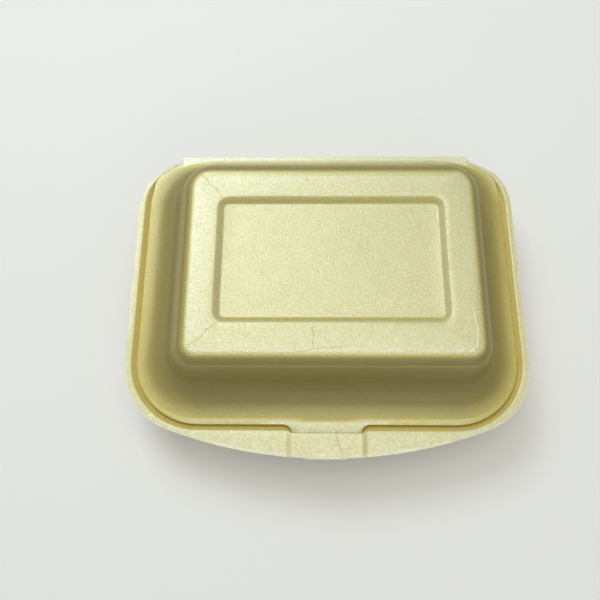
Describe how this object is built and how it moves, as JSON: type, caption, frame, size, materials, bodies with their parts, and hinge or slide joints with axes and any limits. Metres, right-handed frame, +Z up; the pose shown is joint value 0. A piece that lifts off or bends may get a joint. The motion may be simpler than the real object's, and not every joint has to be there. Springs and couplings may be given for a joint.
{
  "type": "foam clamshell container",
  "caption": "Hinged foam takeaway food box: a flared tray and a matching lid with a sunk top panel, folded together along the back edge and latched by a front tongue in a slit.",
  "frame": {"origin": "middle of the closed box's footprint, on the surface that the tray stands on", "axes": "+X along the width, -Y towards the front latch, +Y towards the fold at the back, +Z up"},
  "size_m": [0.238, 0.195, 0.0705],
  "materials": {
    "foam": "pearl gold foam with a fine cell grain"
  },
  "bodies": {
    "base": {"tray": "foam"},
    "cover": {"lid": "foam"}
  },
  "joints": [
    {"name": "lid_hinge", "type": "hinge", "parent": "base", "child": "cover", "pos_m": [0, 0.09775, 0.036], "axis": [-1, 0, 0], "range_deg": [0, 180]}
  ]
}
